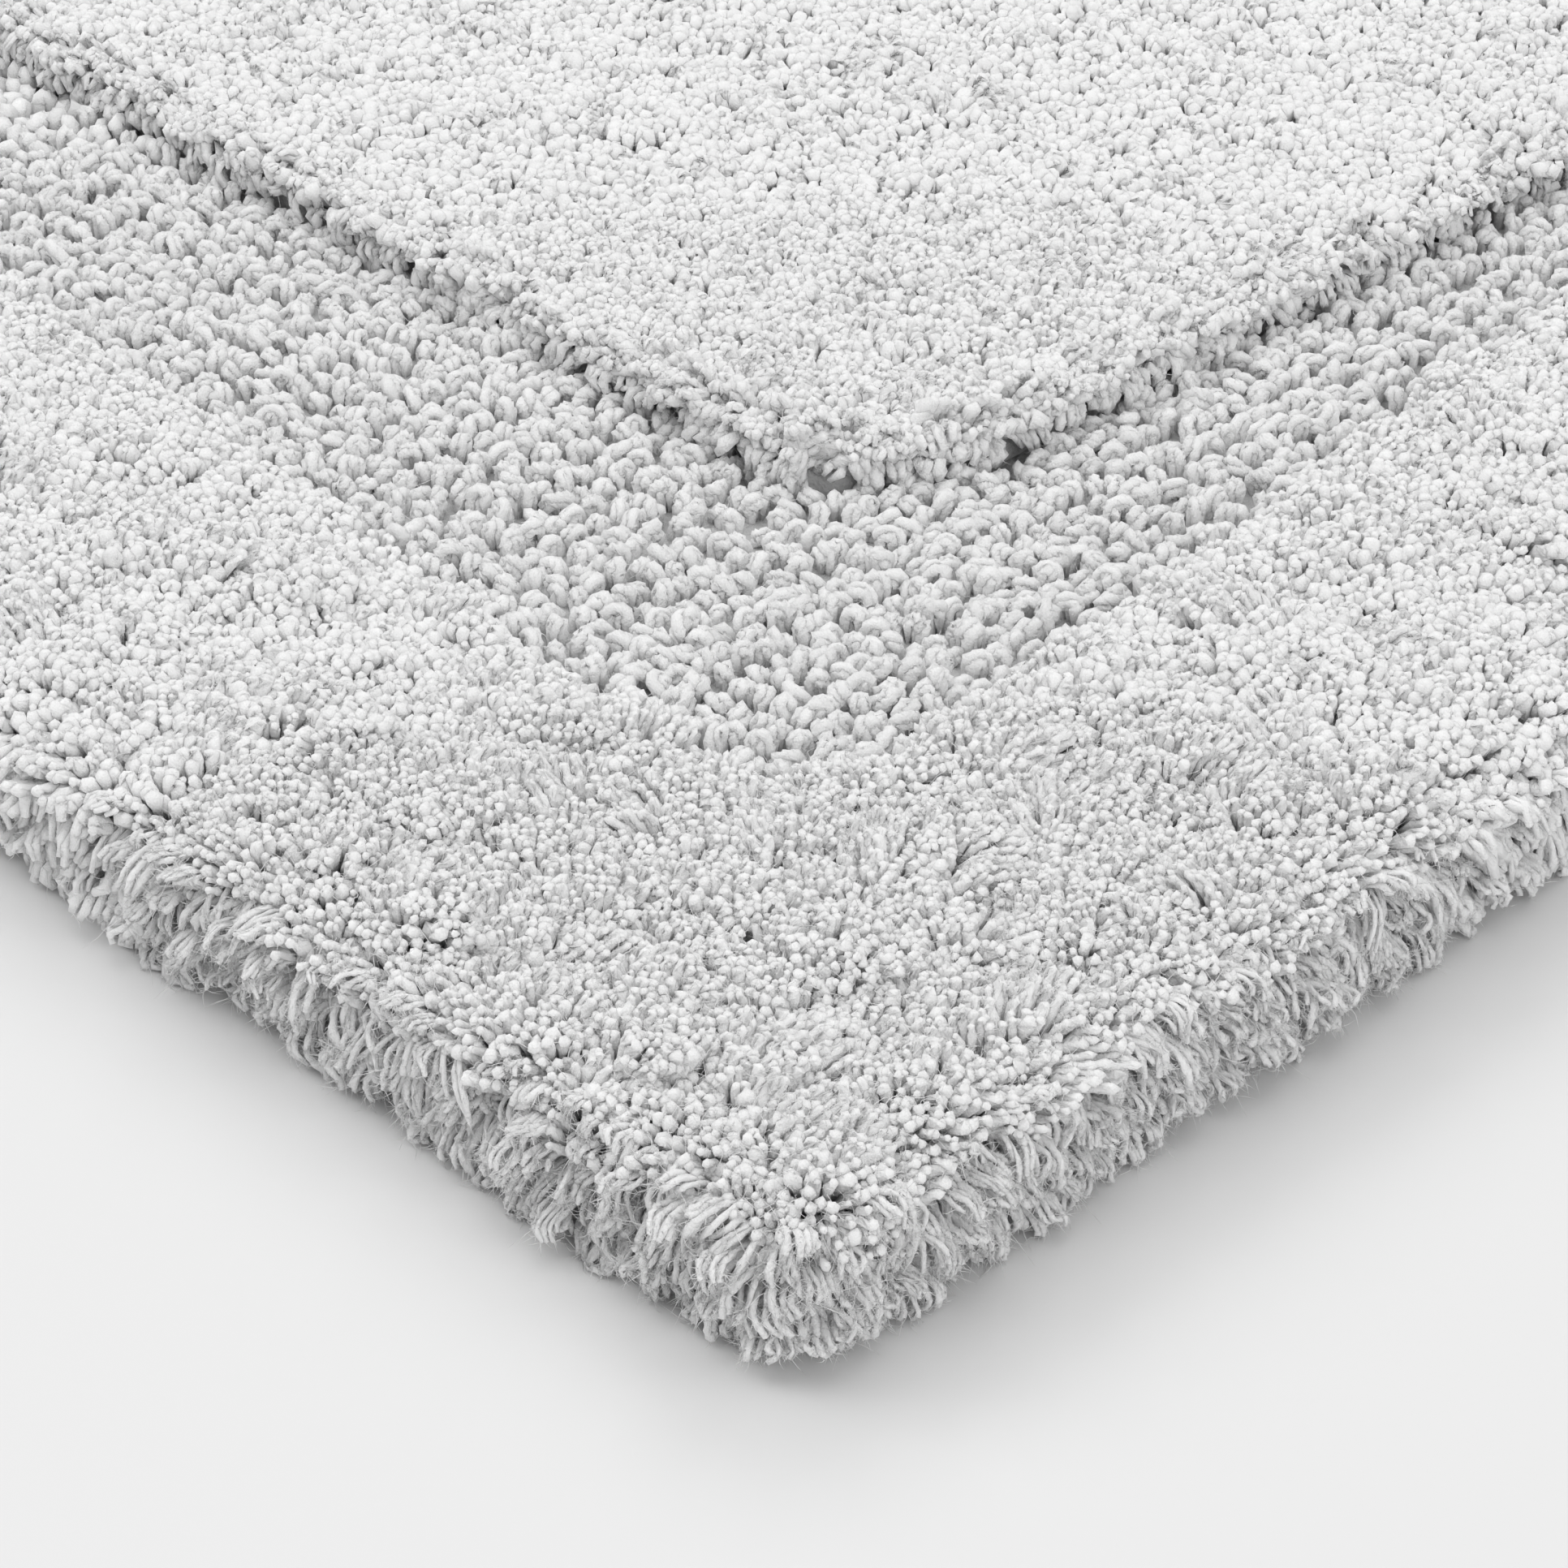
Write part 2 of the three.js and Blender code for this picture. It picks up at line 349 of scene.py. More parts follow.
def make_mesh(name, points, quads, triangles, tones=None, materials=()):
    """A smooth mesh from arrays. tones gives each face, quads first, its material."""
    mesh = bpy.data.meshes.new(name)
    mesh.vertices.add(len(points))
    mesh.vertices.foreach_set("co", (points * MM).astype(np.float32).ravel())
    corners = np.concatenate([quads.ravel(), triangles.ravel()]).astype(np.int32)
    sizes = np.concatenate([np.full(len(quads), 4), np.full(len(triangles), 3)]).astype(np.int32)
    starts = np.concatenate([[0], np.cumsum(sizes)[:-1]]).astype(np.int32)
    mesh.loops.add(len(corners))
    mesh.loops.foreach_set("vertex_index", corners)
    mesh.polygons.add(len(sizes))
    mesh.polygons.foreach_set("loop_start", starts)
    mesh.polygons.foreach_set("loop_total", sizes)
    mesh.polygons.foreach_set("use_smooth", np.ones(len(sizes), bool))
    if tones is not None:
        mesh.polygons.foreach_set("material_index", tones.astype(np.int32))
    for material in materials:
        mesh.materials.append(material)
    mesh.update(calc_edges=True)
    piece = bpy.data.objects.new(name, mesh)
    bpy.context.scene.collection.objects.link(piece)
    return piece


def stands_for(piece, slot, *nodes):
    """Puts a piece in the frame, in place of CAD nodes."""
    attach(piece, "root")
    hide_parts(*nodes)
    return piece


def tubes(paths, radii, reference, sides, random, ply_turn=PLY_TURN, ply_depth=PLY_DEPTH,
          lumps=YARN_LUMPS):
    """Closed tubes along many paths of equal numbers of points; the last point is the tip. The
    radii vary by a share of lumps from point to point."""
    count, steps = paths.shape[:2]
    rings = steps - 1
    along = unit(np.gradient(paths, axis=1))[:, :rings]
    across = unit(np.cross(along, reference[:, None, :]))
    over = np.cross(along, across)
    angle = 2 * np.pi * np.arange(sides) / sides
    turn0 = random.uniform(0, 2 * np.pi, (count, 1, 1))
    turn = turn0 + ply_turn * np.arange(rings)[None, :, None] + angle[None, None, :]
    lobes = 1 - ply_depth * (np.arange(sides) % 2) if sides % 2 == 0 else np.ones(sides)
    lumpy = 1 + random.uniform(-lumps, lumps, (count, rings, sides))
    reach = (radii[:, :rings, None] * lobes * lumpy)[..., None]
    ring_points = paths[:, :rings, None, :] + reach * (
        np.cos(turn)[..., None] * across[:, :, None, :]
        + np.sin(turn)[..., None] * over[:, :, None, :]
    )
    points = np.concatenate([ring_points.reshape(count, rings * sides, 3), paths[:, -1:]], axis=1)
    one = np.arange(sides)
    nxt = (one + 1) % sides
    quads = np.concatenate([
        np.stack([one, nxt, nxt + sides, one + sides], 1) + ring * sides
        for ring in range(rings - 1)
    ])
    last = (rings - 1) * sides
    tip = np.stack([one + last, nxt + last, np.full(sides, rings * sides)], 1)
    root = np.stack([np.zeros(sides - 2, int), one[2:], one[1:-1]], 1)
    triangles = np.concatenate([tip, root])
    first = (np.arange(count) * (rings * sides + 1))[:, None, None]
    return Tubes(points, quads[None] + first, triangles[None] + first, sides)


def thin_tubes(paths, radius, random):
    """Thin tubes of one radius, with three sides."""
    reference = unit(random.normal(0, 1, (len(paths), 3)))
    return tubes(paths, np.full(paths.shape[:2], radius), reference, 3, random, 0, 0, 0)


def hairs(x, y, yarn, share, salt):
    """Loose fibres that stand off the yarn near its end, each a thin bent tube."""
    random = np.random.default_rng(SEED + salt)
    count = int(len(yarn.points) * share)
    which = random.integers(0, len(yarn.points), count)
    rings = (yarn.points.shape[1] - 1) // yarn.sides
    ring = random.integers(rings // 2, rings, count)
    spoke = random.integers(0, yarn.sides, count)
    opposite = (spoke + yarn.sides // 2) % yarn.sides
    start = yarn.points[which, ring * yarn.sides + spoke]
    out = unit(start - yarn.points[which, ring * yarn.sides + opposite])
    tip = unit(yarn.points[which, -1] - start)
    heading = unit(out + 0.7 * tip + random.normal(0, 0.4, (count, 3)))
    bend = random.normal(0, 0.5, (count, 3))
    t = np.array([0, 0.5, 1.0])[None, :, None]
    length = HAIR_LENGTH * np.minimum(random.lognormal(0, 0.45, count), 2.2)[:, None, None]
    paths = start[:, None] + length * (heading[:, None] * t + bend[:, None] * t * t)
    paths[..., 2] = np.maximum(paths[..., 2], 0.1)
    return x[which], y[which], thin_tubes(paths, HAIR_RADIUS, random)


def stray_fibres(salt):
    """Long curly fibres that lie on the border on both sides of the near corner."""
    random = np.random.default_rng(SEED + salt)
    along = STRAY_REACH * random.random(STRAY_COUNT) ** 1.4
    inset = STRAY_DEPTH * random.random(STRAY_COUNT) ** 1.5
    on_right = random.random(STRAY_COUNT) < 0.5
    x = NEAR_CORNER[0] - np.where(on_right, inset, along)
    y = NEAR_CORNER[1] + np.where(on_right, along, inset)
    turn = random.normal(0, 0.55, (STRAY_COUNT, STRAY_STEPS)).cumsum(1)
    heading = random.uniform(0, 2 * np.pi, (STRAY_COUNT, 1)) + turn
    step = STRAY_STEP * random.uniform(0.5, 1.3, (STRAY_COUNT, 1))
    path_x = x[:, None] + (step * np.cos(heading)).cumsum(1)
    path_y = y[:, None] + (step * np.sin(heading)).cumsum(1)
    rise = 0.5 + random.normal(0, 0.3, (STRAY_COUNT, STRAY_STEPS)).cumsum(1)
    inside = np.maximum(rounded_inset(path_x, path_y), 0.3)
    top = round_top(BORDER_TOP, inside, ROLL_RADIUS_IN, ROLL_RADIUS_Z)
    paths = np.stack([path_x, path_y, top + np.clip(rise, -0.3, 2.2)], -1)
    return x, y, thin_tubes(paths, STRAY_RADIUS, random)


def yarn_piece(name, parts, materials, salt):
    """One mesh from several lots of tubes, each yarn in one of the materials' tones."""
    random = np.random.default_rng(SEED + salt)
    tones = [random.integers(0, len(materials), len(part.points)) for part in parts]
    first = np.cumsum([0] + [part.points.size // 3 for part in parts])
    quads = [part.quads.reshape(-1, 4) + start for part, start in zip(parts, first)]
    triangles = [part.triangles.reshape(-1, 3) + start for part, start in zip(parts, first)]
    face_tones = [np.repeat(tone, part.quads.shape[1]) for part, tone in zip(parts, tones)]
    face_tones += [np.repeat(tone, part.triangles.shape[1]) for part, tone in zip(parts, tones)]
    points = [part.points.reshape(-1, 3) for part in parts]
    return make_mesh(name, *map(np.concatenate, (points, quads, triangles, face_tones)), materials)


# ---- materials ----


def set_inputs(node, **values):
    """Sets a node's inputs, with _ for each space in their names."""
    for name, value in values.items():
        node.inputs[name.replace("_", " ")].default_value = value


def new_material(name, tone, roughness):
    """A material with one plain colour, and its shader."""
    material = bpy.data.materials.new(name)
    material.use_nodes = True
    shader = material.node_tree.nodes["Principled BSDF"]
    colour = tone if isinstance(tone, tuple) else (tone, tone, tone)
    set_inputs(shader, Base_Color=(*colour, 1), Roughness=roughness)
    return material, shader


def cotton(name, tone, glow=0.5, grain=0.28, depth=0.00026):
    """Cotton yarn: matte, with a soft sheen. glow is how much light passes through it, grain
    the size of its fibres in millimetres, and depth their relief in metres."""
    material, shader = new_material(name, tone, 1.0)
    nodes, links = material.node_tree.nodes, material.node_tree.links
    set_inputs(shader, Specular_IOR_Level=0.08, Sheen_Weight=0.4, Sheen_Roughness=0.5)
    set_inputs(shader, Subsurface_Weight=glow, Subsurface_Radius=(1, 1, 1),
               Subsurface_Scale=0.001)
    place = nodes.new("ShaderNodeTexCoord")
    noise = nodes.new("ShaderNodeTexNoise")
    set_inputs(noise, Scale=1 / (grain * MM), Detail=4)
    raised = nodes.new("ShaderNodeDisplacement")
    set_inputs(raised, Scale=depth, Midlevel=0.5)
    links.new(place.outputs["Object"], noise.inputs["Vector"])
    links.new(noise.outputs["Fac"], raised.inputs["Height"])
    links.new(raised.outputs["Displacement"], nodes["Material Output"].inputs["Displacement"])
    return material


CUT_YARN = [cotton(f"cut_yarn_{i}", tone) for i, tone in enumerate((0.89, 0.91, 0.93, 0.95))]
LOOP_YARN = [cotton(f"loop_yarn_{i}", tone) for i, tone in enumerate((0.86, 0.89, 0.92))]
# The mass is the same yarn; its tone, darker than the yarn ends', is painted shade for the gaps
# between the tufts.
MASS_YARN_PAINTED_SHADE = cotton("yarn_mass_painted_shade", 0.6, 0, 0.9, 0.0008)

# ---- cut pile ----


def ring_scatter(ring, inner):
    """Yarn ends on a jittered hexagonal grid within one ring of detail."""
    pitch = ring.pitch
    row_step = pitch * math.sqrt(3) / 2
    columns = np.arange(-math.ceil(HALF_LENGTH / pitch), math.ceil(HALF_LENGTH / pitch) + 1)
    rows = np.arange(-math.ceil(HALF_WIDTH / row_step), math.ceil(HALF_WIDTH / row_step) + 1)
    i, j = (a.ravel() for a in np.meshgrid(columns, rows))
    x = (i + 0.5 * (j % 2)) * pitch + (chance(i, j, 11) - 0.5) * 0.5 * pitch
    y = j * row_step + (chance(i, j, 12) - 0.5) * 0.5 * pitch
    away = from_near_corner(x, y)
    keep = (away >= inner) & (away < ring.reach)
    return x[keep], y[keep]


def standing_yarn(x, y, top, ring, salt, edge_in, edge_lean, slope, relief):
    """Yarn that stands up from the cloth, in blobs and clumps that lean their own ways. edge_in
    is how far each yarn is inside its zone's edge, edge_lean which way is out of the zone, slope
    how the surface it grows from leans it, and relief how strong the clumps are."""
    count = len(x)
    random = np.random.default_rng(SEED + salt)
    place = np.stack([x, y], 1)
    clump_i, clump_j, clump_x, clump_y, clump_far = clumps(
        *(place + 2 * two_waves(x, y, 8, 34)).T, CLUMP_SIZE, 21)
    tuft_size = max(TUFT_SIZE, 2.4 * ring.pitch)
    tuft_i, tuft_j, tuft_x, tuft_y, tuft_far = clumps(
        *(place + 0.9 * two_waves(x, y, 4, 31)).T, tuft_size, 23)
    patch_i, patch_j, _, _, patch_far = clumps(x, y, BRUSHED_SIZE, 37)

    tuft_turn = 2 * np.pi * chance(tuft_i, tuft_j, 27)
    tuft_lean = TUFT_LEAN * chance(tuft_i, tuft_j, 28)
    patch_turn = 2 * np.pi * chance(patch_i, patch_j, 38)
    brushed = (chance(patch_i, patch_j, 36) < BRUSHED_SHARE) * (1 - patch_far ** 2)
    lean = (LIE_LEAN * two_waves(x, y, LIE_SIZE, 25) + tuft_lean[:, None] * direction(tuft_turn)
            + BRUSHED_LEAN * brushed[:, None] * direction(patch_turn)
            + random.normal(0, YARN_LEAN, (count, 2))
            + CLUMP_SPLAY * relief * (place - np.stack([clump_x, clump_y], 1)))
    at_wall = np.exp(-np.maximum(edge_in, 0) / WALL_REACH)[:, None]
    least, most = WALL_SPLAY
    splay = (least + (most - least) * chance(patch_i, patch_j, 39))[:, None]
    lean = lean * (1 - 0.6 * at_wall) + splay * at_wall * edge_lean + slope

    to_tuft = np.stack([tuft_x, tuft_y], 1) - place
    shown = YARN_SHOWN + 3.0 * at_wall[:, 0]
    clump_rise = (CLUMP_RISE * (chance(clump_i, clump_j, 29) - 0.5) * (1 - clump_far ** 3)
                  - CLUMP_VALLEY * clump_far ** 3 + 0.3 * CLUMP_VALLEY)
    rise = (relief * clump_rise + 1.0 * (chance(tuft_i, tuft_j, 30) - 0.5)
            + TUFT_DOME * (0.5 - tuft_far ** 2)
            + random.normal(0, 0.15, count)
            + 0.5 * waves(x, y, 60, 33) + 0.3 * brushed)
    rise = rise - (1.0 + 2.2 * chance(patch_i, patch_j, 40)) * at_wall[:, 0]

    run = lean * YARN_SHOWN
    tip_xy = place + (1 - LEAN_PIVOT) * run + TUFT_GATHER * to_tuft
    root_xy = place - LEAN_PIVOT * run
    tip = lifted(tip_xy, top + rise)
    root = lifted(root_xy, top - shown)
    bend = lifted(0.5 * root_xy + 0.5 * tip_xy - YARN_LAG * run, top + rise - 0.42 * shown)
    radius = ring.fill * ring.pitch * random.uniform(0.66, 1.3, count)
    t = np.array(TIP_SHARES)[None, :, None]
    paths = (1 - t) ** 2 * root[:, None] + 2 * t * (1 - t) * bend[:, None] + t ** 2 * tip[:, None]
    radii = radius[:, None] * TIP_WIDTHS
    radii = radii * random.uniform(0.85, 1.15, radii.shape)
    reference = np.tile([1, 0.2, 0], (count, 1))
    return tubes(paths, radii, reference, ring.sides, random)


def round_top(top, inside, radius_in, radius_z):
    """The height of a pile's top that is round at its edge, from the distance inside it."""
    across = np.clip(1 - inside / radius_in, 0, 1)
    return top - radius_z * (1 - np.sqrt(1 - across ** 2))


def border_parts(ring, inner):
    x, y = ring_scatter(ring, inner)
    side, inset, around = nearest_side(x, y)
    rounded = rounded_inset(x, y)
    inside = -past_edge(BORDER_EDGE, inset, around)
    keep = (rounded > STANDING_FROM + EDGE_WANDER * waves(x, y, 9, 72)) & (inside > -0.5)
    x, y, side, rounded, inside = (a[keep] for a in (x, y, side, rounded, inside))
    top = round_top(BORDER_TOP, rounded, ROLL_RADIUS_IN, ROLL_RADIUS_Z)
    top -= 1.5 * np.exp(-np.maximum(inside, 0) / 4)
    lean_out = LEAN_AT_EDGE * (1 - smooth(STANDING_FROM, STANDING_FROM + 10, rounded))
    slope = lean_out[:, None] * outline_normal(x, y)
    return x, y, standing_yarn(x, y, top, ring, 101, inside, -outward_of(side), slope, 1.0)


def centre_parts(ring, inner):
    x, y = ring_scatter(ring, inner)
    side, inset, around = nearest_side(x, y)
    inside = past_edge(CENTRE_EDGE, inset, around) + 1.5 * waves(x, y, 8, 71)
    keep = inside > STANDING_FROM
    x, y, side, inside = (a[keep] for a in (x, y, side, inside))
    top = round_top(CENTRE_TOP - 0.4, inside, RIM_RADIUS_IN, RIM_RADIUS_Z)
    lean_out = LEAN_AT_EDGE * (1 - smooth(STANDING_FROM, STANDING_FROM + 9, inside))
    slope = lean_out[:, None] * outward_of(side)
    far_inside = np.full(len(x), 99.0)
    return x, y, standing_yarn(x, y, top, ring, 102, far_inside, outward_of(side), slope,
                               CENTRE_RELIEF)


# ---- tufts that roll over an edge ----


def outline(around):
    """Places at distances along the mat's rounded outline, anticlockwise from the front side's
    left end."""
    arc = CORNER_RADIUS * math.pi / 2
    place = np.zeros((len(around), 2))
    start = 0.0
    for side in range(4):
        length, depth = side_size(side)
        straight = length - 2 * CORNER_RADIUS
        along = around - start
        angle = np.maximum(along - straight, 0) / CORNER_RADIUS
        local = np.stack([
            np.minimum(along, straight) - straight / 2 + CORNER_RADIUS * np.sin(angle),
            CORNER_RADIUS * (1 - np.cos(angle)) - depth,
        ], 1)
        on = (along >= 0) & (along <= straight + arc)
        place[on] = turned(local[on], side)
        start += straight + arc
    return place


OUTLINE_LENGTH = AROUND - (8 - 2 * math.pi) * CORNER_RADIUS
OUTLINE = outline(np.linspace(0, OUTLINE_LENGTH, 6000, endpoint=False))
OUTSIDE_EDGE = zone_edge(OUTLINE)
EDGE_SPOTS = 150        # points along each side of a loop around the mat


def edge_loop(edge, extra=0.0):
    """A loop around the mat along an edge, moved in by extra, with as many points on each side
    whatever the edge, closest together near the corners."""
    share = 0.5 - 0.5 * np.cos(np.pi * np.arange(EDGE_SPOTS) / EDGE_SPOTS)
    points = []
    start = 0.0
    for side in range(4):
        length, depth = side_size(side)
        far = 0.45 * min(length, 2 * depth)
        reach = np.linspace(0, far, 2000)
        gaps = [np.interp(start + reach, *edge, period=AROUND) + extra - reach,
                np.interp(start + length - reach, *edge, period=AROUND) + extra - reach]
        first, last = (reach[np.argmin(np.abs(gap))] for gap in gaps)
        along = first + (length - first - last) * share
        inset = np.interp(start + along, *edge, period=AROUND) + extra
        points.append(turned(np.stack([along - length / 2, inset - depth], 1), side))
        start += length
    return np.concatenate(points)


class Roll(NamedTuple):
    """An edge that tufts roll over. Its line around the mat is a table of places by distance
    along it, and its profile one of distance in and height by distance up it."""
    along: np.ndarray
    places: np.ndarray
    up: np.ndarray
    inset: np.ndarray
    height: np.ndarray

    def place(self, around):
        around = around % self.along[-1]
        return np.stack([np.interp(around, self.along, self.places[:, k]) for k in (0, 1)], 1)

    def outward(self, around):
        run = self.place(around + ROLL_FAN) - self.place(around - ROLL_FAN)
        return unit(np.stack([run[:, 1], -run[:, 0]], 1))

    def points(self, around, up, lift):
        """Points up the profile, lifted off it, at distances around."""
        inset, height = np.interp(up, self.up, self.inset), np.interp(up, self.up, self.height)
        run = np.interp(up + 0.5, self.up, self.inset) - inset
        rise = np.interp(up + 0.5, self.up, self.height) - height
        size = np.maximum(np.hypot(rise, run), 1e-6)
        in_from_line = (inset - lift * rise / size)[:, None]
        xy = self.place(around) - self.outward(around) * in_from_line
        return lifted(xy, height + lift * run / size)


def make_roll(loop, low_in, low_z, radius_in, radius_z, top):
    """A roll along a closed loop of points. Its profile rises through the low points and is then
    round, up to a flat top."""
    places = np.concatenate([loop, loop[:1]])
    steps = np.hypot(*np.diff(places, axis=0).T)
    angle = np.linspace(0, math.pi / 2, 16)
    inset = np.concatenate([low_in, low_in[-1] + radius_in * (1 - np.cos(angle)), [60]])
    height = np.concatenate([low_z, top - radius_z * (1 - np.sin(angle)), [top]])
    up = np.concatenate([[0], np.cumsum(np.hypot(np.diff(inset), np.diff(height)))])
    return Roll(np.concatenate([[0], np.cumsum(steps)]), places, up, inset, height)


def outside_roll():
    low_z = np.linspace(0, ROLL_TUCK_HEIGHT, 8)
    low_in = ROLL_TUCK * (1 - low_z / ROLL_TUCK_HEIGHT) ** 2
    return make_roll(OUTLINE, low_in, low_z, ROLL_RADIUS_IN, ROLL_RADIUS_Z, BORDER_TOP)


def rim_roll():
    return make_roll(edge_loop(CENTRE_EDGE, 0.0), np.zeros(1), np.array([RIM_FOOT]),
                     RIM_RADIUS_IN, RIM_RADIUS_Z, CENTRE_TOP - 0.4)


def tuft_starts(roll, kind, ring, inner):
    """How far along an edge and up its profile each tuft in a ring starts, and where."""
    low, high = kind.rows
    columns = np.arange(math.floor(roll.along[-1] / kind.spacing))
    steps_up = np.arange(math.ceil((high - low) / ROLLED_ROW_STEP))
    i, j = (a.ravel() for a in np.meshgrid(columns, steps_up))
    shift = 0.5 * (j % 2) + 0.7 * (chance(i, j, 41) - 0.5)
    around = ((i + shift) * kind.spacing) % roll.along[-1]
    up = low + (j + 0.8 * chance(i, j, 42)) * ROLLED_ROW_STEP
    start = roll.place(around)
    away = from_near_corner(start[:, 0], start[:, 1])
    keep = (away >= inner) & (away < ring.reach)
    return around[keep], up[keep], start[keep]


def rolled_tufts(roll, kind, ring, inner, salt):
    """Tufts of one kind that come out of an edge, roll over it and hang down."""
    around, up, start = tuft_starts(roll, kind, ring, inner)
    low, high = kind.rows
    tufts, strands = len(around), min(ring.strands, kind.strands)
    random = np.random.default_rng(SEED + salt)
    length = random.uniform(*kind.lengths, tufts)
    short = (random.random(tufts) < ROLLED_SHORT_SHARE) & (up > low + ROLLED_ROW_STEP)
    room_below = 0.93 * up + 0.4
    length = np.minimum(np.where(short, ROLLED_SHORTNESS * length, length), room_below)
    lean = kind.lean * (random.normal(0, 1, tufts) + 1.1 * waves(around, up, 22, 50))
    least, most = kind.lift
    lift = random.uniform(least, most, tufts) + 0.9 * short
    lift += 0.4 * most * waves(around, up, 24, 48) + kind.over * smooth(high - 6, high - 2, up)
    flare = np.clip(random.normal(-0.2, 0.7, tufts), -1.5, 1.2) + 1.0 * short
    flare = flare * smooth(0, 7, up - length) - 0.8 * (1 - smooth(0, 5, up - length))
    width = kind.width * random.uniform(0.75, 1.25, tufts)
    bow = random.normal(0, 0.5, tufts)

    def each(values):
        return np.repeat(values, strands)

    count = tufts * strands
    spread = np.tile(2 * (np.arange(strands) + 0.5) / strands - 1, tufts)
    across = each(width) * (0.5 * spread + random.normal(0, 0.04, count))
    length = each(length) * (1 - 0.14 * spread ** 2 + random.normal(0, 0.1, count))
    lift = each(lift) - ROLLED_DOME * spread ** 2 + random.normal(0, 0.3, count)
    steps = ROLLED_STEPS if ring.hairs > 0.5 else ROLLED_STEPS - 3
    t = np.linspace(0, 1, steps + 1)[None, :]
    t = 1 - (1 - t) ** 1.15
    t[:, -2] = 0.97
    wriggle = random.normal(0, 0.28, count)[:, None] * np.sin(2.4 * math.pi * t)
    bowed = each(bow)[:, None] * np.sin(math.pi * t)
    lean = each(lean) + random.normal(0, 0.1, count)
    path_around = (each(around)[:, None] + (lean * length)[:, None] * t
                   + across[:, None] * (0.75 + 0.3 * np.sin(math.pi * t)) + bowed + wriggle)
    path_up = np.maximum(each(up)[:, None] - length[:, None] * (t - 0.2), ROLLED_HOVER)
    out = np.sin(np.minimum(1.35 * t, 1) * math.pi / 2)
    depth = (-ROLLED_ROOT_DEPTH + (ROLLED_ROOT_DEPTH + lift[:, None]) * out
             + each(flare)[:, None] * t ** 2)
    paths = roll.points(path_around.ravel(), path_up.ravel(), depth.ravel())
    paths = paths.reshape(count, steps + 1, 3)
    overlap = 0.62 if strands > 3 else 0.72
    radius = overlap * each(width) / strands * random.uniform(0.85, 1.15, count)
    paths[..., 2] = np.maximum(paths[..., 2], 0.1 + 1.2 * radius[:, None])
    widths = np.ones(steps + 1)
    widths[0], widths[-3:] = 0.8, (1.05, 0.8, 0)
    normal = roll.outward(each(around))
    reference = np.concatenate([normal, 0.35 * np.ones((count, 1))], 1)
    made = tubes(paths, radius[:, None] * widths, reference, ring.sides, random, *ROLLED_PLIES)
    return *np.repeat(start, strands, 0).T, made


# ---- loop pile ----


def loop_scatter(near):
    reach = np.array([HALF_LENGTH, HALF_WIDTH]) / LOOP_PITCH
    columns, rows = (np.arange(-math.ceil(r), math.ceil(r) + 1) for r in reach)
    i, j = (a.ravel() for a in np.meshgrid(columns, rows))
    x = (i + 0.4 * (chance(i, j, 51) - 0.5)) * LOOP_PITCH
    y = (j + 0.4 * (chance(i, j, 52) - 0.5)) * LOOP_PITCH
    x, y = x + 1.6 * waves(x, y, 30, 53), y + 1.6 * waves(x, y, 30, 54)
    side, inset, around = nearest_side(x, y)
    from_border = past_edge(BORDER_EDGE, inset, around)
    from_centre = -past_edge(CENTRE_EDGE, inset, around)
    in_band = (from_border > 0.2) & (from_centre > -2.6)
    keep = in_band & ((from_near_corner(x, y) < LOOP_DETAIL_REACH) == near)
    return x[keep], y[keep], side[keep]


def loop_paths(x, y, side, top, random, steps):
    """The middle line of each loop: an arch that leans and skews its own way, and a direction
    across it."""
    count = len(x)
    turn = (side % 2) * math.pi / 2 + random.normal(0, 0.75, count)
    forward = lifted(direction(turn), 0)
    sideways = np.cross([0, 0, 1.0], forward)
    tilt = random.normal(0, 0.55, count)
    upward = np.cos(tilt)[:, None] * np.array([0, 0, 1.0]) + np.sin(tilt)[:, None] * sideways
    beside = np.cross(upward, forward)
    half = random.uniform(*LOOP_HALF_SPAN, count)
    tall = half * random.uniform(0.9, 1.6, count)
    angle = np.linspace(-0.3, math.pi + 0.3, steps)[None, :]
    flat = -np.cos(angle) * half[:, None]
    high = np.sin(angle) * tall[:, None]
    bundle = LOOP_BUNDLE_RADIUS + LOOP_STRAND_RADIUS
    middle = np.stack([x, y, top - tall - bundle], 1)
    skew = random.normal(0, 0.5, count)[:, None] * np.cos(angle)
    paths = (middle[:, None] + flat[..., None] * forward[:, None]
             + high[..., None] * upward[:, None] + skew[..., None] * beside[:, None])
    foot = paths[:, [0, -1]] - np.array([0, 0, LOOP_FOOT])
    return np.concatenate([foot[:, :1], paths, foot[:, 1:]], 1), beside


